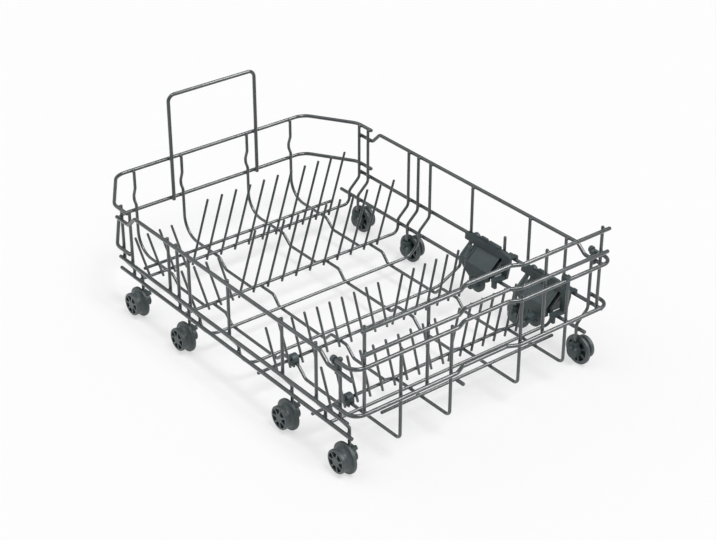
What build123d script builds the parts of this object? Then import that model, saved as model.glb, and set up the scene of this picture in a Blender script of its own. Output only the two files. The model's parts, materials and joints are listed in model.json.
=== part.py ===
from build123d import *
from math import atan, cos, pi, radians, sin, tan
import os

os.makedirs("parts", exist_ok=True)

# Frame: millimetres, +X to the right seen from the front, +Y to the back, +Z up.
# The origin is at the bottom centre of the whole basket. Depths are given as
# setbacks from the front face and heights as rises above the level below.

# Wire
RIM_D = 4.8
FRAME_D = 4.0
TINE_D = 3.2
WELD_GAP = 0.05
WIRE_BEND = 8.0
END_ROUND = 0.3

# Fits
RUN_FIT = 0.08
CLIP_FIT = 0.05
MOVE_GAP = 0.3

# Heights, from the floor up
WHEEL_R = 19.2
LOW_LEVEL = 20.8
STEP_RISE = 12.4
RAIL_RISE = 11.2
SHOULDER_GAP = 8.25
SHOULDER_RISE = 15.5
MID_RISE = 6.0
LOWER_RIM_RISE = 12.8
FRONT_LOW_RISE = 12.0
TOP_RISE = 57.0
FRONT_MID_RISE = 1.2
FRONT_HIGH_RISE = 16.0
FRONT_TOP_RISE = 30.0
LOOP_RISE = 89.2
FRONT_DROP = 11.0
REAR_DROP = 15.0
POST_STICK_OUT = 2.2
WIRE_STICK_OUT = 3.5

# Setbacks, from the front to the back
FRONT_POST_SETBACK = 31.9
FRONT_FOLD_STEP = 67.4
FOLD_PITCH = 104.3
BRACKET_FRONT_REACH = 24.7
BRACKET_REAR_REACH = 37.6
STOP_WIRE_STEP = 20.7
MID_HOOP_STEP = 81.7
POST_2_STEP = 24.0
HOOP_2_STEP = 19.5
POST_1_STEP = 85.5
HOOP_1_STEP = 19.0
REAR_STEP = 76.0
SIDE_END_LEFT = 5.0
SIDE_END_RIGHT = 15.0
MID_START = 12.9
RAIL_START = 20.9

# Ends and slants of the wires, from the wires that they pass
RIM_TAIL = 3.0
CHAMFER_STEP = 9.0
LOOP_TAIL = 2.3
LATCH_POST_RISE = 27.7
LATCH_POST_TAIL = 4.0
POST_TAIL = 4.0
FRONT_RAMP = (27.5, 14.0)
REAR_RAMP = (19.5, 4.5)
SIDE_TAIL = 6.0
MID_TAIL = 4.0
RAIL_TAIL = 25.0
LEG_TAIL = 5.5
TINE_BAR_TAIL = 3.0
STOP_LEFT = 60.5
STOP_RIGHT = 29.0
STOP_PEG_X = -2.0
STOP_PEG_LENGTH = 13.0

# Long wires: rises of the jog above the lower rim, and where the floor steps up and
# down, behind (+) or before (-) the wire that each hump carries
LONG_TAIL_REAR = 1.2
LONG_TAIL_FRONT = 3.0
JOG_RISES = (33.2, 21.2, 14.7, 9.2)
HUMP_1 = (-7.5, -23.0)
HUMP_2 = (24.5, 5.5, -24.0, -35.5)
HUMP_FOLD_REAR = (32.3, 20.3, -9.7, -23.7)
HUMP_FOLD_FRONT = (22.6, 4.6)

# Slanted end of the fourth hoop
SLANT_RUN = 35.5
SLANT_DROP = 6.0
SLANT_FOOT_BEND = 12.0
SLANT_TOP_BEND = 4.5

# Half widths
POST_X = 185.6
FOOT_LEFT_X = 173.5
FOOT_RIGHT_X = 168.5
LONG_X = (-123.0, -51.5, 51.5, 123.0)
LOOP_X = 66.3
REAR_STRAIGHT_X = 147.0
FRONT_TOP_X = 181.0
END_UPRIGHT_X = 173.0
INNER_UPRIGHT_X = 86.0
RECESS_OUTER_X = 46.0
RECESS_INNER_X = 33.0
RECESS_DEPTH = 6.5
WHEEL_OFFSET = 3.7

# Bends
FLOOR_CORNER = 7.0
HOOP_CORNER = 9.0
LOW_CORNER = 27.0
BACK_CORNER = 28.0
FRONT_CORNER = 15.0
CHAMFER_BEND = 24.0
LOOP_CORNER = 9.0
RECESS_BEND = 10.0
JOG_BEND = 6.0

# Fixed tine rows
RIGHT_TINES = 11
RIGHT_FIRST_X = -90.0
RIGHT_PITCH = 22.0
RIGHT_LEAN = 18.0
RIGHT_HEIGHT = 86.5
LEFT_TINES = 4
LEFT_FIRST_X = -152.0
LEFT_PITCH = 17.7
LEFT_LEAN = 15.8
LEFT_HEIGHT = 67.5
TINE_DROP = 4.0
TINE_BAR_RISE = 13.5

# Fold-down tine rows
FOLD_LEFT_TINES = 10
FOLD_LEFT_FIRST_X = -148.3
FOLD_LEFT_PITCH = 18.2
FOLD_RIGHT_TINES = 7
FOLD_RIGHT_FIRST_X = 23.7
FOLD_RIGHT_PITCH = 17.85
FOLD_LEAN = 12.5
FOLD_HEIGHT = 67.5
FOLD_DROP = 7.3
BAR_LEFT_X = -174.5

# Wheel, measured outwards from its inner face, and its carrier
TREAD_W = 4.5
WAIST_AT = 9.8
WAIST_R = 12.4
OUTER_AT = 11.0
OUTER_R = 14.6
WHEEL_W = 15.8
WHEEL_ROUND = 1.2
HUB_R = 5.6
POCKET_R = 11.8
POCKET_DEPTH = 4.6
INNER_POCKET_R = 14.6
INNER_POCKET_DEPTH = 4.0
SPOKES = 7
SPOKE_W = 2.2
AXLE_R = 3.5
AXLE_LENGTH = 12.2
CARRIER_R = 8.0
CARRIER_T = 8.8
CARRIER_NECK_W = 9.0
CARRIER_RISE = 12.0
CARRIER_GAP = 0.6
PEG_R = 2.9
PEG_LENGTH = 3.6
PEG_RISE = 7.0

# Pivot clip
PIVOT_W = 8.4
PIVOT_R = 6.5
PIVOT_GRIP = 3.4

# Latch bracket
PLATE_T = 3.8
PLATE_GAP = 0.4
BEARING_R = 13.5
SLEEVE_R = 6.0
SLEEVE_LENGTH = 15.0
SLOT_MARGIN = 0.6
GRIP_W = 9.0
GRIP_H = 8.0
GRIP_DROP = 1.0
GRIP_MARGIN = 0.2
CUT_MARGIN = 1.0

# Outline of the bracket, from the bar and from the levels that it passes
SHEET_BLANK = 60.0
SHEET_HEAD = 20.0
SHEET_ROUND = 1.5
REAR_GAP = 0.9
REAR_FOOT_RISE = 2.0
TAB_REACH = 5.0
TAB_DROP = 1.0
TAB_RISE = 3.0
CREST_REAR_INSET = 8.0
CREST_REAR_RISE = 12.5
CREST_FRONT_INSET = 5.0
CREST_FRONT_RISE = 12.0
NOSE_REACH = 14.0
NOSE_RISE = 7.0
NECK_DROP = 1.5
CHEEK_INSET = 0.5
CHEEK_FRONT_RISE = 4.5
CHEEK_REAR_RISE = 2.5
FLARE_REACH = 11.5
FLARE_RISE = 0.5
FRONT_PLATE_RISE = 6.0
FRONT_PLATE_FOOT = 8.5

# Windows, lip, ribs, ledge and hook of the bracket
REAR_WINDOW_AT = 27.4
REAR_WINDOW_RISE = 11.5
REAR_WINDOW_LENGTH = 17.0
REAR_WINDOW_W = 5.0
REAR_WINDOW_TILT = 82
CHEEK_WINDOW_AT = 7.6
CHEEK_WINDOW_RISE = 1.0
CHEEK_WINDOW_LENGTH = 11.0
CHEEK_WINDOW_W = 3.4
SLOPE_WINDOW_AT = (10.0, 0.0, -10.0)
SLOPE_WINDOW_RISE = 4.0
SLOPE_WINDOW_LENGTH = 6.0
SLOPE_WINDOW_W = 2.6
LIP_AT = 3.0
LIP_RISE = 9.8
LIP_LENGTH = 40.0
LIP_H = 2.6
LIP_PROUD = 1.8
LIP_ROOT = 0.5
LIP_TILT = -1
RIB_AT = (-12.0, 6.0, 22.0)
RIB_T = 2.6
RIB_ROOT = 0.5
RIB_REACH = 3.0
RIB_RUN = 10.4
LEDGE_W = 8.0
LEDGE_H = 4.0
FINGER_W = 6.4
FINGER_DROP = 5.5
HOOK_AT = 10.5
HOOK_W = 6.0
HOOK_T = 2.2
HOOK_LIP_T = 1.6
HOOK_LIP_H = 7.4
HOOK_LIP_DROP = 1.5

# Corner clip
KNUCKLE_R = 4.2
KNUCKLE_W = 6.2
CLIP_FLOOR = 4.8
CLIP_CHAMFER = 1.5
CLIP_POST_GAP = 0.15
CLIP_INSET = 0.8
WINDOW_W = 3.4
WINDOW_H = 3.8
WINDOW_SHIFT = 1.0

# Derived heights
rim_weld = (RIM_D + FRAME_D) / 2 + WELD_GAP
frame_weld = FRAME_D + WELD_GAP
tine_weld = (FRAME_D + TINE_D) / 2 + WELD_GAP
high_level = LOW_LEVEL + STEP_RISE
low_floor = LOW_LEVEL + frame_weld
high_floor = high_level + frame_weld
rail_level = high_floor + RAIL_RISE
shoulder_low = rail_level + SHOULDER_GAP
shoulder_high = shoulder_low + SHOULDER_RISE
mid_level = shoulder_high + MID_RISE
lower_rim_level = mid_level + LOWER_RIM_RISE
top_level = lower_rim_level + TOP_RISE
front_low = mid_level + FRONT_LOW_RISE
front_mid = top_level + FRONT_MID_RISE
front_high = front_mid + FRONT_HIGH_RISE
front_top = front_high + FRONT_TOP_RISE
post_top = top_level + POST_STICK_OUT
loop_top = top_level + LOOP_RISE
bar_level = high_level + FRAME_D + MOVE_GAP
front_drop = top_level - FRONT_DROP

# Derived setbacks
front_wires = RIM_D / 2
front_plane = front_wires + rim_weld
post_4 = FRONT_POST_SETBACK
fold_front = post_4 + FRONT_FOLD_STEP
fold_rear = fold_front + FOLD_PITCH
hoop_front = fold_front - BRACKET_FRONT_REACH
post_3 = fold_front + BRACKET_REAR_REACH
latch_post = fold_rear - BRACKET_FRONT_REACH
hoop_4 = fold_rear + BRACKET_REAR_REACH
hoop_3 = hoop_4 + MID_HOOP_STEP
post_2 = hoop_3 + POST_2_STEP
hoop_2 = post_2 + HOOP_2_STEP
post_1 = hoop_2 + POST_1_STEP
hoop_1 = post_1 + HOOP_1_STEP
rear_rims = hoop_1 + REAR_STEP
rear_plane = rear_rims - rim_weld
stop_wire = hoop_front - STOP_WIRE_STEP
DEPTH = rear_rims + RIM_D / 2

# Derived half widths
side_x = POST_X + rim_weld
foot_x = {-1: -FOOT_LEFT_X, 1: FOOT_RIGHT_X}
side_end = {-1: SIDE_END_LEFT, 1: SIDE_END_RIGHT}


def y_at(setback):
    """Y of a setback from the front face."""
    return setback - DEPTH / 2


def across(setback):
    """Upright plane across the basket: local x is X, local y is Z."""
    return Plane(origin=(0, y_at(setback), 0), x_dir=(1, 0, 0), z_dir=(0, -1, 0))


def along(x):
    """Upright plane along the basket: local x is Y, local y is Z."""
    return Plane(origin=(x, 0, 0), x_dir=(0, 1, 0), z_dir=(1, 0, 0))


def level(z):
    """Level plane: local x is X, local y is Y."""
    return Plane(origin=(0, 0, z), x_dir=(1, 0, 0), z_dir=(0, 0, 1))


def save(name, piece):
    """Label a piece and write its STEP file."""
    piece.part.label = name
    export_step(piece.part, f"parts/{name}.step")


def bent_wire(name, plane, points, bends, diameter):
    """One wire bent along a flat route, with both ends rounded."""
    with BuildPart() as piece:
        with BuildLine(plane) as route:
            FilletPolyline(*points, radius=bends)
        start = route.line @ 0
        finish = route.line @ 1
        with BuildSketch(Plane(origin=start, z_dir=route.line % 0)):
            Circle(diameter / 2)
        sweep()
        for end in (start, finish):
            cap = piece.faces().sort_by_distance(end)[0]
            fillet(cap.edges(), radius=END_ROUND * diameter)
    save(name, piece)


def rod(name, start, finish, diameter):
    """One straight wire with both ends rounded."""
    run = Vector(finish) - Vector(start)
    with BuildPart() as piece:
        with BuildSketch(Plane(origin=start, z_dir=run)):
            Circle(diameter / 2)
        extrude(amount=run.length)
        for end in (start, finish):
            cap = piece.faces().sort_by_distance(end)[0]
            fillet(cap.edges(), radius=END_ROUND * diameter)
    save(name, piece)


def tine_row(name, y, foot_z, groups):
    """A row of tines that lean along X, with rounded tips, in groups of equal ones."""
    with BuildPart() as tines:
        for count, first_x, pitch, lean, height in groups:
            direction = Vector(sin(radians(lean)), 0, cos(radians(lean)))
            for index in range(count):
                foot = Vector(first_x + index * pitch, y, foot_z)
                with BuildSketch(Plane(origin=foot, x_dir=(0, 1, 0), z_dir=direction)):
                    Circle(TINE_D / 2)
                extrude(amount=height / cos(radians(lean)))
                tip = foot + direction * (height / cos(radians(lean)))
                cap = tines.faces().sort_by_distance(tip)[0]
                fillet(cap.edges(), radius=END_ROUND * TINE_D)
    save(name, tines)


# Back wall
chamfer_start = hoop_1 + CHAMFER_STEP
rim_end = post_1 - RIM_TAIL
rim_points = [
    (-side_x, y_at(rim_end)),
    (-side_x, y_at(chamfer_start)),
    (-REAR_STRAIGHT_X, y_at(rear_rims)),
    (REAR_STRAIGHT_X, y_at(rear_rims)),
    (side_x, y_at(chamfer_start)),
    (side_x, y_at(rim_end)),
]
for rim_name, rim_z in (("rear_top_rim", top_level), ("rear_lower_rim", lower_rim_level)):
    bent_wire(rim_name, level(rim_z), rim_points, CHAMFER_BEND, RIM_D)

loop_plane = across(rear_rims - RIM_D - WELD_GAP)
loop_foot = lower_rim_level - LOOP_TAIL
loop_points = [
    (-LOOP_X, loop_foot),
    (-LOOP_X, loop_top),
    (LOOP_X, loop_top),
    (LOOP_X, loop_foot),
]
bent_wire("rear_loop", loop_plane, loop_points, LOOP_CORNER, RIM_D)

# Long wires: back wall with a jog between the rims, stepped floor, front wall
jog = rear_plane + rim_weld
jog_levels = [lower_rim_level + rise for rise in JOG_RISES]
long_profile = [
    (rear_plane, top_level + LONG_TAIL_REAR),
    (rear_plane, jog_levels[0]),
    (jog, jog_levels[1]),
    (jog, jog_levels[2]),
    (rear_plane, jog_levels[3]),
    (rear_plane, high_level),
    (hoop_1 + HUMP_1[0], high_level),
    (hoop_1 + HUMP_1[1], LOW_LEVEL),
    (hoop_2 + HUMP_2[0], LOW_LEVEL),
    (hoop_2 + HUMP_2[1], high_level),
    (hoop_2 + HUMP_2[2], high_level),
    (hoop_2 + HUMP_2[3], LOW_LEVEL),
    (fold_rear + HUMP_FOLD_REAR[0], LOW_LEVEL),
    (fold_rear + HUMP_FOLD_REAR[1], high_level),
    (fold_rear + HUMP_FOLD_REAR[2], high_level),
    (fold_rear + HUMP_FOLD_REAR[3], LOW_LEVEL),
    (fold_front + HUMP_FOLD_FRONT[0], LOW_LEVEL),
    (fold_front + HUMP_FOLD_FRONT[1], high_level),
    (front_plane, high_level),
    (front_plane, front_mid + LONG_TAIL_FRONT),
]
long_bends = [JOG_BEND] * 4 + [BACK_CORNER] + [WIRE_BEND] * 12 + [FLOOR_CORNER]
long_points = [(y_at(setback), z) for setback, z in long_profile]
for number, long_x in enumerate(LONG_X, start=1):
    bent_wire(f"long_wire_{number}", along(long_x), long_points, long_bends, FRAME_D)


def post_points(side, foot_z):
    """Side upright and shoulder, from the top down to a foot."""
    return [
        (side * POST_X, post_top),
        (side * POST_X, shoulder_high),
        (foot_x[side], shoulder_low),
        (foot_x[side], foot_z),
    ]


# Hoops: upright, shoulder, floor, shoulder, upright
hoops = (
    ("hoop_1", hoop_1, high_floor, HOOP_CORNER),
    ("hoop_2", hoop_2, high_floor, HOOP_CORNER),
    ("hoop_3", hoop_3, low_floor, LOW_CORNER),
    ("hoop_5", hoop_front, high_floor, HOOP_CORNER),
)
for hoop_name, hoop_setback, hoop_floor, corner in hoops:
    hoop_bends = [WIRE_BEND, WIRE_BEND, corner, corner, WIRE_BEND, WIRE_BEND]
    hoop_points = post_points(-1, hoop_floor) + post_points(1, hoop_floor)[::-1]
    bent_wire(hoop_name, across(hoop_setback), hoop_points, hoop_bends, FRAME_D)

# The fourth hoop rises in a slanted run at the right end of its floor
slant_foot_x = FOOT_RIGHT_X - SLANT_RUN
slant_top = rail_level - SLANT_DROP
slant_points = post_points(-1, low_floor)
slant_points.append((slant_foot_x, low_floor))
slant_points += post_points(1, slant_top)[::-1]
slant_bends = [WIRE_BEND, WIRE_BEND, LOW_CORNER, SLANT_FOOT_BEND, SLANT_TOP_BEND, WIRE_BEND, WIRE_BEND]
bent_wire("hoop_4", across(hoop_4), slant_points, slant_bends, FRAME_D)

# Wheel posts and the short post of the rear latch bracket
wheel_posts = (post_1, post_2, post_3, post_4)
sides = (("left", -1), ("right", 1))
post_foot = WHEEL_R - POST_TAIL
for side_name, side in sides:
    for number, setback in enumerate(wheel_posts, start=1):
        post_name = f"wheel_post_{side_name}_{number}"
        foot_points = post_points(side, post_foot)
        bent_wire(post_name, across(setback), foot_points, WIRE_BEND, FRAME_D)

short_points = post_points(1, rail_level - LATCH_POST_TAIL)
short_points[0] = (POST_X, mid_level + LATCH_POST_RISE)
bent_wire("latch_post", across(latch_post), short_points, WIRE_BEND, FRAME_D)

# Side wires
for side_name, side in sides:
    side_profile = [
        (side_end[side], front_drop),
        (hoop_front - FRONT_RAMP[0], front_drop),
        (hoop_front - FRONT_RAMP[1], top_level),
        (post_1 - REAR_RAMP[0], top_level),
        (post_1 - REAR_RAMP[1], top_level - REAR_DROP),
        (hoop_1 + SIDE_TAIL, top_level - REAR_DROP),
    ]
    side_points = [(y_at(setback), z) for setback, z in side_profile]
    side_plane = along(side * side_x)
    bent_wire(f"side_top_wire_{side_name}", side_plane, side_points, WIRE_BEND, RIM_D)
    mid_start = (side * side_x, y_at(MID_START), mid_level)
    mid_finish = (side * side_x, y_at(hoop_1 + MID_TAIL), mid_level)
    rod(f"side_mid_wire_{side_name}", mid_start, mid_finish, RIM_D)
    rail_x = foot_x[side] + side * rim_weld
    rail_start = (rail_x, y_at(RAIL_START), rail_level)
    rail_finish = (rail_x, y_at(hoop_1 + RAIL_TAIL), rail_level)
    rod(f"lower_rail_{side_name}", rail_start, rail_finish, RIM_D)

# Front wall: the upper two wires are flat, the lower two turn round the corners
recess = front_wires + RECESS_DEPTH
recess_points = [
    (-RECESS_OUTER_X, y_at(front_wires)),
    (-RECESS_INNER_X, y_at(recess)),
    (RECESS_INNER_X, y_at(recess)),
    (RECESS_OUTER_X, y_at(front_wires)),
]
flat_points = [(-FRONT_TOP_X, y_at(front_wires))] + recess_points
flat_points.append((FRONT_TOP_X, y_at(front_wires)))
corner_bends = [FRONT_CORNER] + [RECESS_BEND] * 4 + [FRONT_CORNER]
leg_end = post_4 + LEG_TAIL
corner_points = [
    (-side_x, y_at(leg_end)),
    (-side_x, y_at(front_wires)),
] + recess_points
corner_points += [
    (side_x, y_at(front_wires)),
    (side_x, y_at(leg_end)),
]
bent_wire("front_wire_1", level(front_top), flat_points, RECESS_BEND, RIM_D)
bent_wire("front_wire_2", level(front_high), flat_points, RECESS_BEND, RIM_D)
bent_wire("front_wire_3", level(front_mid), corner_points, corner_bends, RIM_D)
bent_wire("front_wire_4", level(front_low), corner_points, corner_bends, RIM_D)

upright_foot = front_low - WIRE_STICK_OUT
upright_length = front_top + WIRE_STICK_OUT - upright_foot
with BuildPart() as front_uprights:
    with BuildSketch(level(upright_foot)):
        for upright_x in (END_UPRIGHT_X, INNER_UPRIGHT_X):
            with Locations((-upright_x, y_at(front_plane)), (upright_x, y_at(front_plane))):
                Circle(FRAME_D / 2)
    extrude(amount=upright_length)
    upright_tips = front_uprights.faces().filter_by(GeomType.PLANE)
    fillet(upright_tips.edges(), radius=END_ROUND * FRAME_D)
save("front_uprights", front_uprights)

# Stop wire on the floor and its peg
stop_left = (LONG_X[1] - STOP_LEFT, y_at(stop_wire), high_floor)
stop_right = (LONG_X[3] + STOP_RIGHT, y_at(stop_wire), high_floor)
rod("stop_wire", stop_left, stop_right, FRAME_D)
peg_back = y_at(stop_wire - FRAME_D / 2 - WELD_GAP)
peg_front = peg_back - STOP_PEG_LENGTH
rod("stop_peg", (STOP_PEG_X, peg_back, high_floor), (STOP_PEG_X, peg_front, high_floor), RIM_D)

# Fixed tine rows stand against the front of the rear two hoops
tine_foot = high_floor - TINE_DROP
fixed_groups = (
    (LEFT_TINES, LEFT_FIRST_X, LEFT_PITCH, -LEFT_LEAN, LEFT_HEIGHT),
    (RIGHT_TINES, RIGHT_FIRST_X, RIGHT_PITCH, RIGHT_LEAN, RIGHT_HEIGHT),
)
tine_row("tine_row_1", y_at(hoop_1 - tine_weld), tine_foot, fixed_groups)
tine_row("tine_row_2", y_at(hoop_2 - tine_weld), tine_foot, fixed_groups)

tine_bar_z = high_floor + TINE_BAR_RISE
bar_reach = TINE_BAR_RISE + TINE_DROP
right_last_x = RIGHT_FIRST_X + (RIGHT_TINES - 1) * RIGHT_PITCH
tine_bar_left = LEFT_FIRST_X - bar_reach * tan(radians(LEFT_LEAN)) - TINE_BAR_TAIL
tine_bar_right = right_last_x + bar_reach * tan(radians(RIGHT_LEAN)) + TINE_BAR_TAIL
tine_bar_y = y_at(hoop_1)
rod("tine_bar", (tine_bar_left, tine_bar_y, tine_bar_z), (tine_bar_right, tine_bar_y, tine_bar_z), FRAME_D)

# Fold-down rows: a bar in its bearings with tines on its front
fold_rows = (("rear", fold_rear), ("front", fold_front))
fold_groups = (
    (FOLD_LEFT_TINES, FOLD_LEFT_FIRST_X, FOLD_LEFT_PITCH, -FOLD_LEAN, FOLD_HEIGHT),
    (FOLD_RIGHT_TINES, FOLD_RIGHT_FIRST_X, FOLD_RIGHT_PITCH, FOLD_LEAN, FOLD_HEIGHT),
)
sheet_out = FRAME_D / 2 + PLATE_GAP
sheet_in = sheet_out + PLATE_T
bar_right_x = FOOT_RIGHT_X - sheet_in
for row_name, bar in fold_rows:
    bar_y = y_at(bar)
    rod(f"fold_bar_{row_name}", (BAR_LEFT_X, bar_y, bar_level), (bar_right_x, bar_y, bar_level), FRAME_D)
    tine_row(f"fold_tines_{row_name}", y_at(bar - tine_weld), bar_level - FOLD_DROP, fold_groups)

# Pivot clips: pushed over the left long wire, with a bearing for the bar
for row_name, bar in fold_rows:
    pivot_x = LONG_X[0]
    pivot_y = y_at(bar)
    pivot_foot = high_level - PIVOT_GRIP
    pivot_h = bar_level - pivot_foot
    with BuildPart() as pivot_clip:
        with BuildSketch(along(pivot_x)):
            with Locations((pivot_y, bar_level)):
                Circle(PIVOT_R)
            with Locations((pivot_y, pivot_foot + pivot_h / 2)):
                Rectangle(2 * PIVOT_R, pivot_h)
            with Locations((pivot_y, bar_level)):
                Circle(FRAME_D / 2 + RUN_FIT, mode=Mode.SUBTRACT)
        extrude(amount=PIVOT_W / 2, both=True)
        slot_top = high_level + FRAME_D / 2 + MOVE_GAP
        slot_h = slot_top - pivot_foot + CUT_MARGIN
        with Locations((pivot_x, pivot_y, slot_top - slot_h / 2)):
            Box(FRAME_D + 2 * CLIP_FIT, 4 * PIVOT_R, slot_h, mode=Mode.SUBTRACT)
    save(f"pivot_clip_{row_name}", pivot_clip)

# Latch brackets: a sheet that follows the posts from the wall down to the bar, with a
# bearing for the bar, ribs that stand on the lower rail and a plate before the front post
plate_out = POST_X - sheet_out
plate_in = POST_X - sheet_in
bearing_in = FOOT_RIGHT_X - sheet_in
shoulder_slope = SHOULDER_RISE / (POST_X - FOOT_RIGHT_X)
bend_rise = tan((pi / 2 - atan(shoulder_slope)) / 2)
ledge_foot = rail_level + RIM_D / 2 + 2 * CLIP_FIT
ledge_top = ledge_foot + LEDGE_H
grip_foot = mid_level - GRIP_DROP
sheet_top = grip_foot + SHEET_HEAD
sheet_foot = bar_level - 2 * BEARING_R
post_slot = FRAME_D / 2 + SLOT_MARGIN
rear_edge = BRACKET_REAR_REACH - post_slot - REAR_GAP
rear_tab = BRACKET_REAR_REACH + TAB_REACH
front_edge = -BRACKET_FRONT_REACH - post_slot
nose = front_edge - NOSE_REACH
slot_rear = post_slot - BRACKET_FRONT_REACH
sheet_profile = [
    (POST_X - sheet_out, sheet_top),
    (POST_X - sheet_out, shoulder_high + bend_rise * sheet_out),
    (FOOT_RIGHT_X - sheet_out, shoulder_low + bend_rise * sheet_out),
    (FOOT_RIGHT_X - sheet_out, sheet_foot),
    (FOOT_RIGHT_X - sheet_in, sheet_foot),
    (FOOT_RIGHT_X - sheet_in, shoulder_low + bend_rise * sheet_in),
    (POST_X - sheet_in, shoulder_high + bend_rise * sheet_in),
    (POST_X - sheet_in, sheet_top),
]
sheet_outline = [
    (rear_edge, shoulder_low + REAR_FOOT_RISE),
    (rear_edge, grip_foot - TAB_DROP),
    (rear_tab, grip_foot - TAB_DROP),
    (rear_tab, grip_foot + TAB_RISE),
    (rear_edge - CREST_REAR_INSET, grip_foot + CREST_REAR_RISE),
    (slot_rear + CREST_FRONT_INSET, grip_foot + CREST_FRONT_RISE),
    (nose, grip_foot + NOSE_RISE),
    (nose, grip_foot),
    (slot_rear, grip_foot),
    (slot_rear, rail_level - NECK_DROP),
    (CHEEK_INSET - BEARING_R, bar_level + CHEEK_FRONT_RISE),
    (BEARING_R - CHEEK_INSET, bar_level + CHEEK_REAR_RISE),
    (BEARING_R + FLARE_REACH, rail_level + FLARE_RISE),
]
front_outline = [
    (front_edge, grip_foot + FRONT_PLATE_RISE),
    (front_edge, ledge_foot),
    (front_edge - FRONT_PLATE_FOOT, ledge_foot),
    (nose, grip_foot - TAB_DROP),
    (nose, grip_foot + FRONT_PLATE_RISE),
]
slope_foot = shoulder_low + bend_rise * sheet_out
rib_in = FOOT_RIGHT_X - sheet_out - RIB_ROOT
rib_out = FOOT_RIGHT_X + rim_weld + RIB_REACH
rib_points = [
    (rib_in, ledge_foot),
    (rib_out, ledge_foot),
    (rib_out, slope_foot + RIB_RUN * shoulder_slope),
    (rib_in, slope_foot + RIB_ROOT),
]
for row_name, bar in fold_rows:
    bar_y = y_at(bar)
    with BuildPart() as bracket:
        # bent sheet, cut to its outline
        with BuildSketch(across(bar)):
            with BuildLine():
                Polyline(sheet_profile, close=True)
            make_face()
        extrude(amount=SHEET_BLANK, both=True)
        with BuildSketch(along(bearing_in - CUT_MARGIN)):
            with BuildLine():
                edge_points = [(bar_y + reach, z) for reach, z in sheet_outline]
                FilletPolyline(edge_points, radius=SHEET_ROUND, close=True)
            make_face()
            with Locations((bar_y, bar_level)):
                Circle(BEARING_R)
            with Locations((bar_y + REAR_WINDOW_AT, shoulder_low + REAR_WINDOW_RISE)):
                SlotOverall(
                    REAR_WINDOW_LENGTH, REAR_WINDOW_W,
                    rotation=REAR_WINDOW_TILT, mode=Mode.SUBTRACT,
                )
            for window in (CHEEK_WINDOW_AT, -CHEEK_WINDOW_AT):
                with Locations((bar_y + window, bar_level + CHEEK_WINDOW_RISE)):
                    SlotOverall(CHEEK_WINDOW_LENGTH, CHEEK_WINDOW_W, rotation=90, mode=Mode.SUBTRACT)
            for window in SLOPE_WINDOW_AT:
                with Locations((bar_y + window, shoulder_low + SLOPE_WINDOW_RISE)):
                    SlotOverall(SLOPE_WINDOW_LENGTH, SLOPE_WINDOW_W, mode=Mode.SUBTRACT)
        extrude(amount=plate_out - bearing_in + 2 * CUT_MARGIN, mode=Mode.INTERSECT)
        # plate before the front post
        with BuildSketch(along(plate_in)):
            with BuildLine():
                edge_points = [(bar_y + reach, z) for reach, z in front_outline]
                FilletPolyline(edge_points, radius=SHEET_ROUND, close=True)
            make_face()
        extrude(amount=PLATE_T)
        # lip along the top
        with BuildSketch(along(plate_in - LIP_PROUD)):
            with Locations((bar_y + LIP_AT, grip_foot + LIP_RISE)):
                SlotOverall(LIP_LENGTH, LIP_H, rotation=LIP_TILT)
        extrude(amount=LIP_PROUD + LIP_ROOT)
        # ribs that stand on the rail
        for rib in RIB_AT:
            with BuildSketch(across(bar + rib)):
                with BuildLine():
                    Polyline(rib_points, close=True)
                make_face()
            extrude(amount=RIB_T / 2, both=True)
        # ledge and finger below the front plate
        ledge_y = bar_y + front_edge - LEDGE_W / 2
        with Locations(((bearing_in + plate_out) / 2, ledge_y, (ledge_foot + ledge_top) / 2)):
            Box(plate_out - bearing_in, LEDGE_W, LEDGE_H)
        finger_foot = rail_level - FINGER_DROP
        with Locations((bearing_in + PLATE_T / 2, ledge_y, (finger_foot + ledge_top) / 2)):
            Box(PLATE_T, FINGER_W, ledge_top - finger_foot)
        # sleeve for the bar
        with BuildSketch(along(bearing_in + PLATE_T - SLEEVE_LENGTH)):
            with Locations((bar_y, bar_level)):
                Circle(SLEEVE_R)
        extrude(amount=SLEEVE_LENGTH)
        with BuildSketch(along(bearing_in + PLATE_T - SLEEVE_LENGTH)):
            with Locations((bar_y, bar_level)):
                Circle(FRAME_D / 2 + RUN_FIT)
        extrude(amount=SLEEVE_LENGTH, mode=Mode.SUBTRACT)
        # grips round the two posts
        grip_out = POST_X + FRAME_D / 2 - GRIP_MARGIN
        for reach in (BRACKET_REAR_REACH, -BRACKET_FRONT_REACH):
            grip_middle = ((plate_in + grip_out) / 2, bar_y + reach, grip_foot + GRIP_H / 2)
            with Locations(grip_middle):
                Box(grip_out - plate_in, GRIP_W, GRIP_H)
            with Locations((POST_X, bar_y + reach, grip_foot + GRIP_H / 2)):
                Cylinder(FRAME_D / 2 + CLIP_FIT, 2 * GRIP_H, mode=Mode.SUBTRACT)
        # hook over the side wire
        hook_y = bar_y + front_edge - HOOK_AT
        hook_foot = mid_level + RIM_D / 2 + CLIP_FIT
        hook_in = side_x + RIM_D / 2 + CLIP_FIT
        hook_out = hook_in + HOOK_LIP_T
        with Locations(((plate_in + hook_out) / 2, hook_y, hook_foot + HOOK_T / 2)):
            Box(hook_out - plate_in, HOOK_W, HOOK_T)
        with Locations(((hook_in + hook_out) / 2, hook_y, hook_foot - HOOK_LIP_DROP)):
            Box(HOOK_LIP_T, HOOK_W, HOOK_LIP_H)
    save(f"latch_bracket_{row_name}", bracket)

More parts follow.
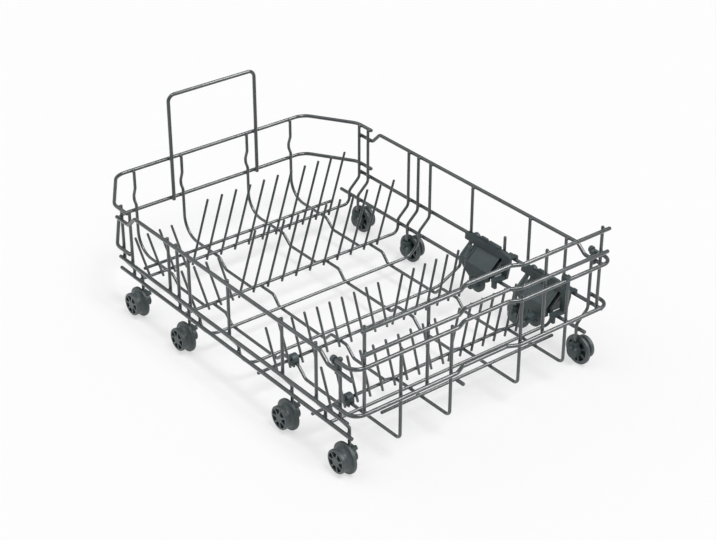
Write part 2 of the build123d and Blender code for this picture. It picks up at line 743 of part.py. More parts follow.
# Corner clips: two knuckles on the end of the front wire and a web that holds the
# side wire below it
knuckle_gap = FRAME_D / 2 + SLOT_MARGIN
clip_reach = knuckle_gap + KNUCKLE_W
clip_bore = RIM_D / 2 + CLIP_FIT
clip_foot = front_drop - CLIP_FLOOR
for side_name, side in sides:
    clip_x = side * side_x
    clip_in = side * (POST_X + FRAME_D / 2 + CLIP_POST_GAP)
    clip_out = side * (side_x + KNUCKLE_R - CLIP_INSET)
    clip_y = y_at(post_4)
    with BuildPart() as corner_clip:
        web = [
            (clip_y - clip_reach, front_mid),
            (clip_y - clip_reach, clip_foot + CLIP_CHAMFER),
            (clip_y - clip_reach + CLIP_CHAMFER, clip_foot),
            (clip_y + clip_reach - CLIP_CHAMFER, clip_foot),
            (clip_y + clip_reach, clip_foot + CLIP_CHAMFER),
            (clip_y + clip_reach, front_mid),
        ]
        with BuildSketch(along(clip_in)):
            with BuildLine():
                Polyline(web, close=True)
            make_face()
            with Locations((clip_y + knuckle_gap + WINDOW_SHIFT, (front_mid + front_drop) / 2)):
                Rectangle(WINDOW_W, WINDOW_H, mode=Mode.SUBTRACT)
        extrude(amount=clip_out - clip_in)
        for knuckle_y in (clip_y - knuckle_gap - KNUCKLE_W / 2, clip_y + knuckle_gap + KNUCKLE_W / 2):
            with Locations((clip_x, knuckle_y, front_mid)):
                Cylinder(KNUCKLE_R, KNUCKLE_W, rotation=(90, 0, 0))
        for bore_z in (front_mid, front_drop):
            with Locations((clip_x, clip_y, bore_z)):
                Cylinder(clip_bore, 4 * clip_reach, rotation=(90, 0, 0), mode=Mode.SUBTRACT)
    save(f"corner_clip_{side_name}", corner_clip)

# Wheels and their carriers
tread_points = [(0, 0), (0, WHEEL_R), (TREAD_W, WHEEL_R)]
outer_points = [
    (WAIST_AT, WAIST_R),
    (OUTER_AT, OUTER_R),
    (WHEEL_W, OUTER_R),
    (WHEEL_W, 0),
    (0, 0),
]
for side_name, side in sides:
    outward = Vector(side, 0, 0)
    wheel_x = foot_x[side] + side * WHEEL_OFFSET
    with BuildPart() as carriers:
        for setback in wheel_posts:
            carrier_y = y_at(setback)
            carrier_x = wheel_x - side * CARRIER_GAP
            neck_top = WHEEL_R + CARRIER_RISE
            with BuildSketch(Plane(origin=(carrier_x, 0, 0), x_dir=(0, side, 0), z_dir=outward)):
                with Locations((side * carrier_y, WHEEL_R)):
                    Circle(CARRIER_R)
                with Locations((side * carrier_y, (WHEEL_R + neck_top) / 2)):
                    Rectangle(CARRIER_NECK_W, CARRIER_RISE)
            extrude(amount=-CARRIER_T)
            with Locations((foot_x[side], carrier_y, neck_top)):
                Cylinder(
                    FRAME_D / 2 + CLIP_FIT, neck_top - post_foot + CLIP_FIT,
                    align=(Align.CENTER, Align.CENTER, Align.MAX), mode=Mode.SUBTRACT,
                )
            with BuildSketch(Plane(origin=(carrier_x, carrier_y, WHEEL_R), z_dir=outward)):
                Circle(AXLE_R)
            extrude(amount=AXLE_LENGTH)
            peg_x = carrier_x - side * CARRIER_T
            with BuildSketch(Plane(origin=(peg_x, carrier_y, WHEEL_R + PEG_RISE), z_dir=-outward)):
                Circle(PEG_R)
            extrude(amount=PEG_LENGTH)
    save(f"wheel_carriers_{side_name}", carriers)

    for number, setback in enumerate(wheel_posts, start=1):
        hub = (wheel_x, y_at(setback), WHEEL_R)
        hub_face = Plane(origin=hub, x_dir=(0, 1, 0), z_dir=outward)
        with BuildPart() as wheel:
            with BuildSketch(Plane(origin=hub, x_dir=outward, z_dir=(0, -side, 0))):
                with BuildLine():
                    Polyline(tread_points)
                    TangentArc((WAIST_AT, WAIST_R), (TREAD_W, WHEEL_R), tangent=(-1, 0))
                    Polyline(outer_points)
                make_face()
            revolve(axis=Axis(hub, outward))
            rims = wheel.edges().filter_by(GeomType.CIRCLE)
            rounded = rims.filter_by(lambda edge: edge.radius > (WAIST_R + OUTER_R) / 2)
            fillet(rounded, radius=WHEEL_ROUND)
            with BuildSketch(hub_face.offset(WHEEL_W)):
                Circle(POCKET_R)
                Circle(HUB_R, mode=Mode.SUBTRACT)
                with PolarLocations(POCKET_R / 2 + HUB_R / 2, SPOKES):
                    Rectangle(POCKET_R, SPOKE_W, mode=Mode.SUBTRACT)
            extrude(amount=-POCKET_DEPTH, mode=Mode.SUBTRACT)
            with BuildSketch(hub_face):
                Circle(INNER_POCKET_R)
                Circle(HUB_R, mode=Mode.SUBTRACT)
                with PolarLocations(INNER_POCKET_R / 2 + HUB_R / 2, SPOKES):
                    Rectangle(INNER_POCKET_R, SPOKE_W, mode=Mode.SUBTRACT)
            extrude(amount=INNER_POCKET_DEPTH, mode=Mode.SUBTRACT)
            with BuildSketch(hub_face):
                Circle(AXLE_R + RUN_FIT)
            extrude(amount=AXLE_LENGTH, mode=Mode.SUBTRACT)
        save(f"wheel_{side_name}_{number}", wheel)
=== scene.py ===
# %% [markdown]
# A basket of coated wire on rollers
#
# The basket is welded from steel wire, dipped in a grey nylon coat, and carries a
# few moulded pieces: the rollers with their carriers, the clips at the corners and
# the bearings of the two rows of tines that fold down. The solids already have their
# size and place, so this lesson dresses them: it smooths their shading, adds the small
# beads of coating where wires meet and the finer mouldings of the clips, and gives
# every surface its finish. All lengths are in metres.

# %% Load the solids
import json
import math

import bmesh
import bpy
from mathutils import Matrix, Vector

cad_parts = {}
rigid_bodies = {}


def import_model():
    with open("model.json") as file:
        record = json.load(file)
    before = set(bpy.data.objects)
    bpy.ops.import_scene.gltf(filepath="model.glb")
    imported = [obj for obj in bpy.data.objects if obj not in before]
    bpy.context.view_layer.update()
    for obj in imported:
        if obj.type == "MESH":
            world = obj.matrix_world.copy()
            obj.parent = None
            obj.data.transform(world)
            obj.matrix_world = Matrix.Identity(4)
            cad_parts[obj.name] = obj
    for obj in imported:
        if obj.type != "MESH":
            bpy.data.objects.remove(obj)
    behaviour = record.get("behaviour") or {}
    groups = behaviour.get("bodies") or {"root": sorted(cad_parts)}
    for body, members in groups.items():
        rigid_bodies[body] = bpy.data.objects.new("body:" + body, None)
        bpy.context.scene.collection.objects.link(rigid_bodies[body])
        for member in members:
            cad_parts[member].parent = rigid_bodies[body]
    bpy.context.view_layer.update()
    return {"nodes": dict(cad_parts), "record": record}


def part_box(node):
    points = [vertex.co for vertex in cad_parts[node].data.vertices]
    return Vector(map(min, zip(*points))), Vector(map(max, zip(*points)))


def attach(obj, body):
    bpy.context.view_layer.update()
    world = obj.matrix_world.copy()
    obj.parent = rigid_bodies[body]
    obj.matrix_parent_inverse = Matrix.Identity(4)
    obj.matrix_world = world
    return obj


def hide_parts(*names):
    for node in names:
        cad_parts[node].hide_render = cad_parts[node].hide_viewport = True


for leftover in list(bpy.data.objects):
    bpy.data.objects.remove(leftover)
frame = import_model()
nodes = frame["nodes"]
scene = bpy.context.scene

# %% [markdown]
# The camera comes first. The place and the lens were found by matching straight wires of the basket
# to the photograph: a long lens, from the front left and thirty degrees up.

# %% Camera
view_azimuth = math.radians(-38.188)
view_elevation = math.radians(30.033)
camera_place = Vector((-1.1026, -1.4389, 1.1288))
lens_mm = 85.98
sensor_mm = 36.0
nearest = 0.05
farthest = 50.0

back = Vector((
    math.sin(view_azimuth) * math.cos(view_elevation),
    -math.cos(view_azimuth) * math.cos(view_elevation),
    math.sin(view_elevation),
))
right = Vector((math.cos(view_azimuth), math.sin(view_azimuth), 0.0))
up = back.cross(right)
camera_data = bpy.data.cameras.new("photo_camera")
camera_data.lens = lens_mm
camera_data.sensor_width = sensor_mm
camera_data.clip_start = nearest
camera_data.clip_end = farthest
camera = bpy.data.objects.new("photo_camera", camera_data)
camera.matrix_world = Matrix((
    (right.x, up.x, back.x, camera_place.x),
    (right.y, up.y, back.y, camera_place.y),
    (right.z, up.z, back.z, camera_place.z),
    (0.0, 0.0, 0.0, 1.0),
))
scene.collection.objects.link(camera)
scene.camera = camera
print("camera at", [round(v, 3) for v in camera_place], "lens", lens_mm)

# %% [markdown]
# A solid arrives as loose triangles, so a round wire would shade as flat facets. Its
# own vertices stay as they are. A Weld modifier joins them, smooth shading blends
# across the facets, and an Edge Split keeps the true edges of the moulded pieces.

# %% Smooth shading
weld_distance = 0.00001
crease_degrees = 38.0


def shade_round(solid):
    """Smooth shading on a solid, with edges sharper than the crease kept."""
    solid.data.polygons.foreach_set("use_smooth", [True] * len(solid.data.polygons))
    weld = solid.modifiers.new("weld", "WELD")
    weld.merge_threshold = weld_distance
    split = solid.modifiers.new("true_edges", "EDGE_SPLIT")
    split.split_angle = math.radians(crease_degrees)
    split.use_edge_sharp = False


for solid in nodes.values():
    shade_round(solid)
print("smoothed:", len(nodes))

# %% [markdown]
# Every finish is built from noise on Object coordinates, so that it stays on its piece
# when the piece moves. A noise of 0 to 1 hardly leaves its middle, so a spread of numbers
# starts and ends at the low and the high value that it does reach.

# %% Helpers for finishes
noise_low = 0.3
noise_high = 0.7
fine_detail = 2.0


def new_finish(name):
    """A material with its tree, its Principled shader and its coordinates."""
    finish = bpy.data.materials.new(name)
    finish.use_nodes = True
    tree = finish.node_tree
    shader = tree.nodes["Principled BSDF"]
    place = tree.nodes.new("ShaderNodeTexCoord")
    return finish, tree, shader, place


def noise(tree, place, scale, detail=3.0, stretch=(1.0, 1.0, 1.0)):
    """A noise on Object coordinates, in features per metre."""
    mapping = tree.nodes.new("ShaderNodeMapping")
    mapping.inputs["Scale"].default_value = stretch
    tree.links.new(place.outputs["Object"], mapping.inputs["Vector"])
    texture = tree.nodes.new("ShaderNodeTexNoise")
    texture.inputs["Scale"].default_value = scale
    texture.inputs["Detail"].default_value = detail
    tree.links.new(mapping.outputs["Vector"], texture.inputs["Vector"])
    return texture.outputs["Fac"]


def ramp(tree, factor, stops):
    """A colour ramp between two (position, colour) stops."""
    node = tree.nodes.new("ShaderNodeValToRGB")
    for element, (position, colour) in zip(node.color_ramp.elements, stops):
        element.position = position
        element.color = (*colour, 1.0)
    tree.links.new(factor, node.inputs["Fac"])
    return node.outputs["Color"]


def spread(tree, factor, numbers):
    """A noise spread between two numbers."""
    node = tree.nodes.new("ShaderNodeMapRange")
    node.inputs["From Min"].default_value = noise_low
    node.inputs["From Max"].default_value = noise_high
    node.inputs["To Min"].default_value = numbers[0]
    node.inputs["To Max"].default_value = numbers[1]
    tree.links.new(factor, node.inputs["Value"])
    return node.outputs["Result"]


def blend_colour(tree, factor, first, second):
    """Two colours mixed by a factor."""
    node = tree.nodes.new("ShaderNodeMix")
    node.data_type = "RGBA"
    tree.links.new(factor, node.inputs["Factor"])
    tree.links.new(first, node.inputs["A"])
    tree.links.new(second, node.inputs["B"])
    return node.outputs["Result"]


def bump(tree, shader, height, strength, distance):
    """Surface relief from a height."""
    node = tree.nodes.new("ShaderNodeBump")
    node.inputs["Strength"].default_value = strength
    node.inputs["Distance"].default_value = distance
    tree.links.new(height, node.inputs["Height"])
    tree.links.new(node.outputs["Normal"], shader.inputs["Normal"])


print("finish helpers ready")

# %% [markdown]
# The coat on the wire is a nylon powder that melts on: an even slate grey with a
# satin shine and a faint orange-peel surface. Broad noise varies the grey by a few
# percent, fine noise makes the peel, and a stretched noise leaves pale scuffs.

# %% Coated wire
coat_dark = (0.029, 0.039, 0.041)
coat_light = (0.044, 0.056, 0.058)
coat_scuff = (0.115, 0.134, 0.135)
no_scuff = (0.0, 0.0, 0.0)
most_scuff = (0.55, 0.55, 0.55)
coat_tone_scale = 24.0
coat_tone_from = 0.32
coat_tone_to = 0.68
scuff_tone_scale = 240.0
scuff_scale = 70.0
scuff_detail = 6.0
scuff_stretch = (1.0, 0.35, 1.0)
scuff_from = 0.62
scuff_to = 0.78
coat_shine_scale = 160.0
coat_roughness = (0.24, 0.34)
peel_scale = 900.0
peel_strength = 0.2
peel_depth = 0.00005
film_weight = 1.0
film_roughness = 0.17

coated_wire, tree, shader, place = new_finish("coated_wire")
tone_noise = noise(tree, place, coat_tone_scale)
tone = ramp(tree, tone_noise, [(coat_tone_from, coat_dark), (coat_tone_to, coat_light)])
scuff_tone_noise = noise(tree, place, scuff_tone_scale)
scuff_tone = ramp(tree, scuff_tone_noise, [(0.0, coat_light), (1.0, coat_scuff)])
scuff_noise = noise(tree, place, scuff_scale, scuff_detail, scuff_stretch)
scuff_mask = ramp(tree, scuff_noise, [(scuff_from, no_scuff), (scuff_to, most_scuff)])
tree.links.new(blend_colour(tree, scuff_mask, tone, scuff_tone), shader.inputs["Base Color"])
shine = spread(tree, noise(tree, place, coat_shine_scale), coat_roughness)
tree.links.new(shine, shader.inputs["Roughness"])
peel = noise(tree, place, peel_scale, fine_detail)
bump(tree, shader, peel, peel_strength, peel_depth)
shader.inputs["Coat Weight"].default_value = film_weight
shader.inputs["Coat Roughness"].default_value = film_roughness
print("finish:", coated_wire.name)

# %% [markdown]
# The moulded clips are a glass-filled plastic in a slightly bluer grey. The tool that
# shaped them was spark-eroded, which leaves a fine even grain and little shine.

# %% Moulded clips
clip_dark = (0.036, 0.052, 0.056)
clip_light = (0.056, 0.077, 0.082)
clip_tone_scale = 40.0
clip_shine_scale = 300.0
clip_roughness = (0.44, 0.56)
clip_grain_scale = 2200.0
clip_grain_strength = 0.3
clip_grain_depth = 0.00004

clip_plastic, tree, shader, place = new_finish("clip_plastic")
tone_noise = noise(tree, place, clip_tone_scale)
tone = ramp(tree, tone_noise, [(noise_low, clip_dark), (noise_high, clip_light)])
tree.links.new(tone, shader.inputs["Base Color"])
shine = spread(tree, noise(tree, place, clip_shine_scale), clip_roughness)
tree.links.new(shine, shader.inputs["Roughness"])
grain = noise(tree, place, clip_grain_scale, fine_detail)
bump(tree, shader, grain, clip_grain_strength, clip_grain_depth)
print("finish:", clip_plastic.name)

# %% [markdown]
# The rollers are a paler, smoother plastic. Their treads run on steel tracks and
# polish in rings, so the roughness varies in bands along the axle, which lies on X.

# %% Rollers
roller_dark = (0.055, 0.071, 0.074)
roller_light = (0.081, 0.099, 0.102)
roller_tone_scale = 60.0
band_scale = 90.0
band_stretch = (14.0, 0.6, 0.6)
roller_roughness = (0.34, 0.5)
roller_grain_scale = 1500.0
roller_grain_strength = 0.2
roller_grain_depth = 0.00004

roller_plastic, tree, shader, place = new_finish("roller_plastic")
tone_noise = noise(tree, place, roller_tone_scale)
tone = ramp(tree, tone_noise, [(noise_low, roller_dark), (noise_high, roller_light)])
tree.links.new(tone, shader.inputs["Base Color"])
bands = noise(tree, place, band_scale, fine_detail, band_stretch)
tree.links.new(spread(tree, bands, roller_roughness), shader.inputs["Roughness"])
grain = noise(tree, place, roller_grain_scale, fine_detail)
bump(tree, shader, grain, roller_grain_strength, roller_grain_depth)
print("finish:", roller_plastic.name)

# %% Give each solid its finish
finishes = {
    "coated_wire": coated_wire,
    "clip_plastic": clip_plastic,
    "wheel_plastic": roller_plastic,
}
for part in frame["record"]["subparts"]:
    solid = nodes[part["node"]]
    solid.data.materials.clear()
    solid.data.materials.append(finishes[part["material_slot"]])

# %% [markdown]
# Where two wires are welded, the coating draws into the notch between them and sets
# as a small bead. Each bead here is a flattened ball at the point where two wires
# touch. Most places come from the solids' own boxes, so they can't drift from the wire.
# The tines of a row share one box, and so do the front uprights, so the tines and the two
# inner uprights are placed by their sizes.

# %% Where the wires lie
rim_r = 0.0024
frame_r = 0.002
tine_r = 0.0016
inner_upright_x = 0.086
rear_drop = 0.015

long_wires = [f"long_wire_{n}" for n in (1, 2, 3, 4)]
hoops = [f"hoop_{n}" for n in (1, 2, 3, 4, 5)]
front_wires = [f"front_wire_{n}" for n in (1, 2, 3, 4)]
rear_rims = ("rear_top_rim", "rear_lower_rim")
sides = (("left", -1), ("right", 1))
fold_rows = ("rear", "front")
beads = {"basket": [], "fold_row_rear": [], "fold_row_front": []}


def middle(node):
    """Middle of a solid's box."""
    low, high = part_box(node)
    return (low + high) / 2


def add_bead(body, x, y, z, thin_axis, radius):
    """Note a bead on a body, thin along the line that joins the two wires."""
    beads[body].append((Vector((x, y, z)), thin_axis, radius))


print("wires to bead:", len(long_wires) + len(hoops) + len(front_wires))

# %% Beads on the floor and the end walls
# Long wires under the hoops' floors and under the stop wire
for hoop in hoops:
    floor_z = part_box(hoop)[0].z
    for long_wire in long_wires:
        add_bead("basket", middle(long_wire).x, middle(hoop).y, floor_z, "Z", frame_r)
stop = middle("stop_wire")
for long_wire in long_wires[1:]:
    add_bead("basket", middle(long_wire).x, stop.y, stop.z - frame_r, "Z", frame_r)

# Long wires and the rear loop before the rear rims
loop_low, loop_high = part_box("rear_loop")
for rim in rear_rims:
    rim_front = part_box(rim)[1].y - 2 * rim_r
    for long_wire in long_wires:
        add_bead("basket", middle(long_wire).x, rim_front, middle(rim).z, "Y", frame_r)
    for loop_x in (loop_low.x + rim_r, loop_high.x - rim_r):
        add_bead("basket", loop_x, rim_front, middle(rim).z, "Y", rim_r)

# Long wires and front uprights behind the front wires
front_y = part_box("front_wire_4")[0].y + 2 * rim_r
upright_low, upright_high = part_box("front_uprights")
upright_xs = [upright_low.x + frame_r, upright_high.x - frame_r, -inner_upright_x, inner_upright_x]
for front_wire in front_wires[2:]:
    for long_wire in long_wires:
        add_bead("basket", middle(long_wire).x, front_y, middle(front_wire).z, "Y", frame_r)
for front_wire in front_wires:
    for upright_x in upright_xs:
        add_bead("basket", upright_x, front_y, middle(front_wire).z, "Y", frame_r)
print("beads on the floor and the end walls:", len(beads["basket"]))

# %% Beads on the side walls
for side_name, side in sides:
    posts = [f"wheel_post_{side_name}_{n}" for n in (1, 2, 3, 4)]
    mid = middle(f"side_mid_wire_{side_name}")
    rail = middle(f"lower_rail_{side_name}")
    top_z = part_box(f"side_top_wire_{side_name}")[1].z - rim_r
    wall_x = mid.x - side * rim_r
    rail_x = rail.x - side * rim_r
    for upright in posts + hoops:
        add_bead("basket", wall_x, middle(upright).y, mid.z, "X", frame_r)
        add_bead("basket", rail_x, middle(upright).y, rail.z, "X", frame_r)
    for upright in posts[1:3] + hoops[1:]:
        add_bead("basket", wall_x, middle(upright).y, top_z, "X", frame_r)
    for upright in (posts[0], hoops[0]):
        add_bead("basket", wall_x, middle(upright).y, top_z - rear_drop, "X", frame_r)
        for rim in rear_rims:
            add_bead("basket", wall_x, middle(upright).y, middle(rim).z, "X", frame_r)
    add_bead("basket", wall_x, middle(posts[3]).y, middle("front_wire_4").z, "X", frame_r)
print("beads with the side walls:", len(beads["basket"]))

# %% [markdown]
# The tines touch the wire behind them. A leaning tine crosses its wire a little to
# the side of its foot, by the height of the wire above the foot times the lean. The
# middle of a leaning foot lies a little above the lowest point of its row.

# %% Beads on the tine rows
# Each group of tines: place of the first foot, pitch, count and lean in degrees
fixed_groups = ((-0.152, 0.0177, 4, -15.8), (-0.09, 0.022, 11, 18.0))
fold_groups = ((-0.1483, 0.0182, 10, -12.5), (0.0237, 0.01785, 7, 12.5))
fixed_foot_lift = 0.0005
fold_foot_lift = 0.0004


def bead_tines(body, row, groups, foot_lift, wire):
    """Beads where the leaning tines of a row touch the front of a level wire."""
    foot_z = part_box(row)[0].z + foot_lift
    wire_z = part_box(wire)[0].z + frame_r
    touch_y = middle(wire).y - frame_r
    for first_x, pitch, count, lean_degrees in groups:
        shift = (wire_z - foot_z) * math.tan(math.radians(lean_degrees))
        for number in range(count):
            add_bead(body, first_x + pitch * number + shift, touch_y, wire_z, "Y", tine_r)


for row, wire in (("tine_row_1", "hoop_1"), ("tine_row_1", "tine_bar"), ("tine_row_2", "hoop_2")):
    bead_tines("basket", row, fixed_groups, fixed_foot_lift, wire)
for row in fold_rows:
    bead_tines(f"fold_row_{row}", f"fold_tines_{row}", fold_groups, fold_foot_lift, f"fold_bar_{row}")
print({body: len(spots) for body, spots in beads.items()})

# %% Make the beads
bead_width = 1.25
bead_thickness = 0.62


def place_piece(mesh, name, body, slot):
    """Turn a mesh into a dressed piece that rides on a body."""
    data = bpy.data.meshes.new(name)
    mesh.to_mesh(data)
    mesh.free()
    data.materials.append(finishes[slot])
    piece = bpy.data.objects.new(name, data)
    scene.collection.objects.link(piece)
    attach(piece, body)
    print(piece.name, len(data.polygons), "faces")
    return piece


def make_beads(body, spots):
    """One mesh of flattened balls, sized by the radius of their thinner wire."""
    mesh = bmesh.new()
    for spot, thin_axis, radius in spots:
        size = [radius * bead_width] * 3
        size["XYZ".index(thin_axis)] = radius * bead_thickness
        place_bead = Matrix.Translation(spot) @ Matrix.Diagonal((*size, 1.0))
        bmesh.ops.create_icosphere(mesh, subdivisions=2, radius=1.0, matrix=place_bead)
    for face in mesh.faces:
        face.smooth = True
    place_piece(mesh, f"weld_beads_{body}", body, "coated_wire")


for body, spots in beads.items():
    make_beads(body, spots)

# %% [markdown]
# The latch brackets have mouldings on their bent sheet: a web behind the front post, a
# smooth panel and low ridges on the slope, a boss, a hump and a lip along the top edge,
# and a cheek beside the hook. On the rear bracket a shutter closes the rear window. The
# web is flat, and the others are blocks or a disc with rounded edges. All are placed by
# their reach from the bar, to the back where it is positive.

# %% Helpers for mouldings
disc_segments = 32


def round_edges(mesh, edges, radius):
    """Round edges off with a bevel of two steps."""
    bmesh.ops.bevel(
        mesh, geom=edges, offset=radius, offset_type="OFFSET", affect="EDGES",
        segments=2, profile=0.5, material=-1,
    )


def edges_of(verts):
    """All edges that end at the given vertices, each once and in order."""
    return list(dict.fromkeys(edge for vert in verts for edge in vert.link_edges))


def add_block(mesh, centre, size, radius, tilt=0.0):
    """A block with rounded edges, tilted about the Y axis."""
    turn = Matrix.Rotation(tilt, 4, "Y")
    place_block = Matrix.Translation(centre) @ turn @ Matrix.Diagonal((*size, 1.0))
    made = bmesh.ops.create_cube(mesh, size=1.0, matrix=place_block)
    round_edges(mesh, edges_of(made["verts"]), radius)


def add_disc(mesh, centre, disc_r, thickness, radius, turn_axis="Y"):
    """A disc with rounded rims, its axle on X, or on Y when it is turned about X."""
    place_disc = Matrix.Translation(centre) @ Matrix.Rotation(math.pi / 2, 4, turn_axis)
    made = bmesh.ops.create_cone(
        mesh, cap_ends=True, segments=disc_segments, radius1=disc_r, radius2=disc_r,
        depth=thickness, matrix=place_disc,
    )
    rims = [
        edge for edge in edges_of(made["verts"])
        if any(len(face.verts) > 4 for face in edge.link_faces)
    ]
    round_edges(mesh, rims, radius)


def add_web(mesh, outline, y, thickness):
    """A flat web across the basket, from an outline in X and Z."""
    face = mesh.faces.new([mesh.verts.new((x, y, z)) for x, z in outline])
    grown = bmesh.ops.extrude_face_region(mesh, geom=[face])
    moved = [item for item in grown["geom"] if isinstance(item, bmesh.types.BMVert)]
    bmesh.ops.translate(mesh, verts=moved, vec=(0.0, thickness, 0.0))


print("moulding helpers ready")

# %% The sheet of a latch bracket
sheet_gap = 0.0024
sheet_t = 0.0038
slope_low_z = 0.05945
slope_high_z = 0.07495

post_low, post_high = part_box("latch_post")
post_x = post_high.x - frame_r
plate_out = post_x - sheet_gap
plate_in = plate_out - sheet_t
plate_x = (plate_in + plate_out) / 2
cheek_in = post_low.x + frame_r - sheet_gap - sheet_t
cheek_x = cheek_in + sheet_t / 2
slope_run = plate_in - cheek_in
slope_rise = slope_high_z - slope_low_z
slope_tilt = -math.atan2(slope_rise, slope_run)
slope_length = math.hypot(slope_rise, slope_run)
slope_x = (cheek_in + plate_in) / 2
slope_z = (slope_low_z + slope_high_z) / 2


def add_on_slope(mesh, y, size, radius):
    """A block with rounded edges that lies along the slope of the sheet."""
    add_block(mesh, (slope_x, y, slope_z), size, radius, slope_tilt)


print("slope of the sheet:", round(math.degrees(-slope_tilt), 1), "degrees")

# %% Mouldings of the latch brackets
web_reach = -0.0221
web_t = 0.0012
web_foot_z = 0.0512
web_top_z = 0.0755
web_past_post = 0.0006
web_out = post_x + web_past_post
web_outline = [
    (cheek_x, web_foot_z),
    (web_out, web_foot_z),
    (web_out, web_top_z),
    (plate_x, web_top_z),
    (cheek_x, slope_low_z),
]
panel_reach = -0.001
panel_size = (slope_length, 0.036, 0.0006)
panel_round = 0.0002
ridge_reaches = (0.0198, 0.0236, 0.0312)
ridge_size = (slope_length - 0.002, 0.0016, 0.0024)
ridge_round = 0.0005
shutter_reach = 0.0276
shutter_size = (slope_length - 0.004, 0.0062, 0.001)
shutter_round = 0.0003
boss_reach = 0.0225
boss_z = 0.0865
boss_r = 0.006
boss_t = sheet_t + 0.0012
boss_round = 0.001
edge_z = 0.0892
hump_reach = 0.0075
hump_size = (sheet_t + 0.0004, 0.013, 0.0066)
hump_round = 0.0018
lip_reach = -0.011
lip_size = (sheet_t + 0.0016, 0.022, 0.0036)
lip_round = 0.0012
hook_cheek_reach = -0.032
hook_cheek_x = 0.1878
hook_cheek_z = 0.0822
hook_cheek_size = (0.0096, 0.0066, 0.0028)
hook_cheek_round = 0.0009

for row in fold_rows:
    bar_y = middle(f"fold_bar_{row}").y
    mouldings = bmesh.new()
    add_web(mouldings, web_outline, bar_y + web_reach, web_t)
    add_on_slope(mouldings, bar_y + panel_reach, panel_size, panel_round)
    for ridge_reach in ridge_reaches:
        add_on_slope(mouldings, bar_y + ridge_reach, ridge_size, ridge_round)
    if row == "rear":
        add_on_slope(mouldings, bar_y + shutter_reach, shutter_size, shutter_round)
    add_disc(mouldings, (plate_x, bar_y + boss_reach, boss_z), boss_r, boss_t, boss_round)
    add_block(mouldings, (plate_x, bar_y + hump_reach, edge_z), hump_size, hump_round)
    add_block(mouldings, (plate_x, bar_y + lip_reach, edge_z), lip_size, lip_round)
    hook_cheek_at = (hook_cheek_x, bar_y + hook_cheek_reach, hook_cheek_z)
    add_block(mouldings, hook_cheek_at, hook_cheek_size, hook_cheek_round)
    bmesh.ops.recalc_face_normals(mouldings, faces=mouldings.faces)
    place_piece(mouldings, f"latch_mouldings_{row}", "basket", "clip_plastic")

# %% [markdown]
# A small moulded rest is pushed over the middle front wire, beside the right long wire.
# Its front face is just behind the front of the wire.

# %% Rest on the front wire
rest_size = Vector((0.007, 0.009, 0.0175))
rest_step = 0.0065
rest_drop = 0.0035
rest_setback = 0.0001
rest_round = 0.0012

rest_at = (
    middle("long_wire_4").x - rest_step,
    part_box("front_wire_3")[0].y + rest_setback + rest_size.y / 2,
    middle("front_wire_3").z - rest_drop,
)
rest = bmesh.new()
add_block(rest, rest_at, rest_size, rest_round)
place_piece(rest, "front_rest", "basket", "clip_plastic")

# %% [markdown]
# The clips at the front corners are slim: a knuckle round the end of the front wire, a cap
# on the post, a stem down to the side wire and a bridge between knuckle and stem. They
# stand for the plainer solids there.

# %% Slim corner clips
knuckle_r = 0.00418
knuckle_w = 0.0048
knuckle_reach = 0.0052
knuckle_round = 0.0008
cap_r = 0.0031
cap_drop = 0.001
stem_w = 0.0056
stem_t = 0.0058
stem_inset = 0.0012
stem_round = 0.0012
bridge_reach = 0.0035
bridge_drop = 0.0042
bridge_size = (0.005, 0.007, 0.004)
bridge_round = 0.001

for side_name, side in sides:
    post = f"wheel_post_{side_name}_4"
    post_y = middle(post).y
    wire_x = middle(f"side_mid_wire_{side_name}").x
    wire_z = middle("front_wire_3").z
    stem_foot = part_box(f"corner_clip_{side_name}")[0].z
    knuckle_at = (wire_x, post_y + knuckle_reach, wire_z)
    stem_at = (wire_x - side * stem_inset, post_y, (stem_foot + wire_z) / 2)
    cap_at = (side * post_x, post_y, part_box(post)[1].z - cap_drop)
    bridge_at = (wire_x, post_y + bridge_reach, wire_z - bridge_drop)
    clip = bmesh.new()
    add_disc(clip, knuckle_at, knuckle_r, knuckle_w, knuckle_round, "X")
    bmesh.ops.create_icosphere(clip, subdivisions=3, radius=cap_r, matrix=Matrix.Translation(cap_at))
    add_block(clip, stem_at, (stem_t, stem_w, wire_z - stem_foot), stem_round)
    add_block(clip, bridge_at, bridge_size, bridge_round)
    piece = place_piece(clip, f"slim_corner_clip_{side_name}", "basket", "clip_plastic")
    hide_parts(f"corner_clip_{side_name}")

# %% [markdown]
# The floor is a wide plain sheet. The background of the photograph is white, so a share
# of plain white is mixed into what the camera and reflections see of the floor, and
# the rest of it keeps a soft shadow.

# %% Floor
floor_half = 6.0
floor_grey = (0.9, 0.9, 0.9, 1.0)
floor_roughness = 0.9
floor_gloss = 0.1
white_strength = 1.0
white_share = 0.6

sheet = bmesh.new()
bmesh.ops.create_grid(sheet, x_segments=1, y_segments=1, size=floor_half)
floor_data = bpy.data.meshes.new("floor")
sheet.to_mesh(floor_data)
sheet.free()
floor_finish, tree, shader = new_finish("floor_white")[:3]
shader.inputs["Base Color"].default_value = floor_grey
shader.inputs["Roughness"].default_value = floor_roughness
shader.inputs["Specular IOR Level"].default_value = floor_gloss
white = tree.nodes.new("ShaderNodeEmission")
white.inputs["Strength"].default_value = white_strength
rays = tree.nodes.new("ShaderNodeLightPath")
seen = rays.outputs["Is Camera Ray"]
for ray in ("Is Glossy Ray", "Is Transmission Ray"):
    either = tree.nodes.new("ShaderNodeMath")
    either.operation = "MAXIMUM"
    tree.links.new(seen, either.inputs[0])
    tree.links.new(rays.outputs[ray], either.inputs[1])
    seen = either.outputs["Value"]
share = tree.nodes.new("ShaderNodeMath")
share.operation = "MULTIPLY"
share.inputs[1].default_value = white_share
tree.links.new(seen, share.inputs[0])
paper = tree.nodes.new("ShaderNodeMixShader")
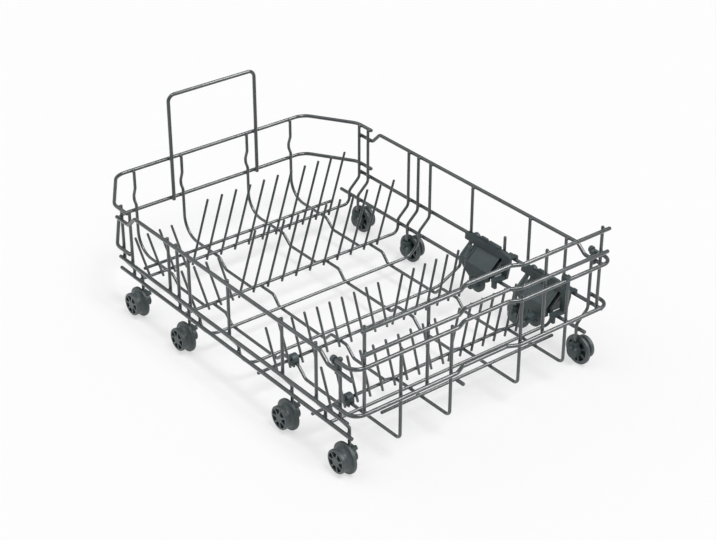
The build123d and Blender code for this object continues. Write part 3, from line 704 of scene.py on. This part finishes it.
tree.links.new(share.outputs["Value"], paper.inputs["Fac"])
tree.links.new(shader.outputs["BSDF"], paper.inputs[1])
tree.links.new(white.outputs["Emission"], paper.inputs[2])
tree.links.new(paper.outputs["Shader"], tree.nodes["Material Output"].inputs["Surface"])
floor_data.materials.append(floor_finish)
floor = bpy.data.objects.new("floor", floor_data)
scene.collection.objects.link(floor)
print("floor laid")

# %% [markdown]
# The light is that of a product studio: an even white surround, a soft key lamp above the
# front and a broad weak fill from behind on the left. A row of three lamps on the right
# acts as one long strip, which only draws the bright line along the front wires.

# %% Light
surround_strength = 0.3
key_from = (0.02, -0.45, 0.89)
key_strength = 1.9
key_width = 22.0
fill_from = (-0.45, 0.4, 0.8)
fill_strength = 0.9
fill_width = 60.0
strip_x = 0.555
strip_ys = (-0.62, -0.36, -0.08)
strip_strength = 0.6
strip_width = 15.0
lamp_distance = 2.0

world = bpy.data.worlds.new("studio")
world.use_nodes = True
scene.world = world
surround = world.node_tree.nodes["Background"]
surround.inputs["Color"].default_value = (1.0, 1.0, 1.0, 1.0)
surround.inputs["Strength"].default_value = surround_strength


def soft_sun(name, towards, strength, width_degrees):
    """A broad lamp of even light, from the given direction."""
    lamp_data = bpy.data.lights.new(name, "SUN")
    lamp_data.energy = strength
    lamp_data.angle = math.radians(width_degrees)
    lamp = bpy.data.objects.new(name, lamp_data)
    lamp.location = Vector(towards) * lamp_distance
    lamp.rotation_euler = Vector(towards).to_track_quat("Z", "Y").to_euler()
    scene.collection.objects.link(lamp)
    return lamp


soft_sun("key", key_from, key_strength, key_width)
soft_sun("fill", fill_from, fill_strength, fill_width)
for number, strip_y in enumerate(strip_ys, start=1):
    strip_z = math.sqrt(1.0 - strip_x ** 2 - strip_y ** 2)
    strip_from = (strip_x, strip_y, strip_z)
    strip = soft_sun(f"strip_{number}", strip_from, strip_strength, strip_width)
    strip.visible_diffuse = False
scene.view_settings.view_transform = "Standard"

# %% [markdown]
# Last, the scene is brought up to date.

# %% Bring the scene up to date
bpy.context.view_layer.update()
